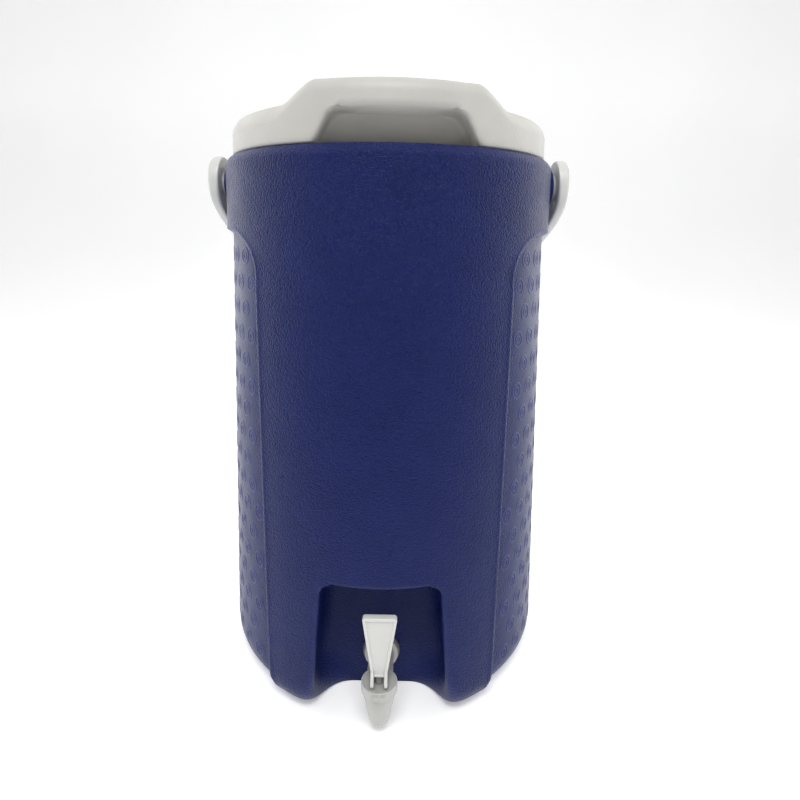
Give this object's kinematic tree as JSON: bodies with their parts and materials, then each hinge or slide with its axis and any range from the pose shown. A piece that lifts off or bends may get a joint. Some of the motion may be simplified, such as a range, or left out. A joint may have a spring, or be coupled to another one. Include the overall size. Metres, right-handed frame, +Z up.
{
  "type": "beverage dispenser",
  "caption": "Round insulated drinks cooler with a twist-and-lift lid, a swinging bail handle and a self-closing lever tap in a recess at the front.",
  "frame": {"origin": "centre of the flat resting face, on the axis of the round body", "axes": "+Z up along the body axis, the tap and the front face -Y, +X to the viewer's right"},
  "size_m": [0.27, 0.2909, 0.4178],
  "materials": {
    "body_blue": "fine pebble grain moulded polyethylene",
    "foam": "rigid closed-cell foam",
    "liner_white": "smooth food-grade polyethylene",
    "plug_blue": "satin",
    "lid_offwhite": "fine grain",
    "gasket": "soft silicone",
    "handle_white": "satin",
    "stud_white": "satin",
    "tap_white": "satin gloss",
    "lever_white": "satin gloss",
    "stem_grey": "satin",
    "seal": "matte",
    "steel": "plain"
  },
  "bodies": {
    "cooler": {"outer_shell": "body_blue", "foam_core": "foam", "inner_liner": "liner_white", "foam_fill_plug": "plug_blue", "tap_sleeve": "liner_white", "handle_stud_left": "stud_white", "handle_stud_right": "stud_white", "tap_body": "tap_white", "tap_bonnet": "tap_white", "tap_outer_washer": "seal", "tap_inner_washer": "seal", "tap_nut": "tap_white"},
    "handle": {"bail_handle": "handle_white"},
    "lid_seal": {"lid_gasket": "gasket"},
    "lid": {"lid_shell": "lid_offwhite", "lid_plug": "lid_offwhite", "lid_foam": "foam"},
    "valve_stem": {"tap_stem": "stem_grey", "tap_seat_cup": "seal", "tap_lever_pin": "steel", "tap_spring": "steel"},
    "lever": {"tap_lever": "lever_white"}
  },
  "joints": [
    {"name": "bail_swing", "type": "hinge", "parent": "cooler", "child": "handle", "pos_m": [0, 0, 0.364], "axis": [1, 0, 0], "range_deg": [0, 257]},
    {"name": "lid_lift", "type": "slide", "parent": "cooler", "child": "lid_seal", "axis": [0, 0, 1], "range_m": [0, 0.2]},
    {"name": "lid_turn", "type": "hinge", "parent": "lid_seal", "child": "lid", "pos_m": [0, 0, 0.38], "axis": [0, 0, 1], "range_deg": [-36, 0]},
    {"name": "stem_lift", "type": "slide", "parent": "cooler", "child": "valve_stem", "axis": [0, 0, 1], "range_m": [0, 0.00312], "stiffness_N_per_m": 300, "springref_m": -0.0015, "deforming": ["tap_spring"]},
    {"name": "lever_tilt", "type": "hinge", "parent": "valve_stem", "child": "lever", "pos_m": [0, -0.1257, 0.042], "axis": [1, 0, 0], "range_deg": [0, 35]}
  ],
  "couplings": [
    {"joint": "lever_tilt", "follows": "stem_lift", "rad_per_m": 196.08}
  ]
}
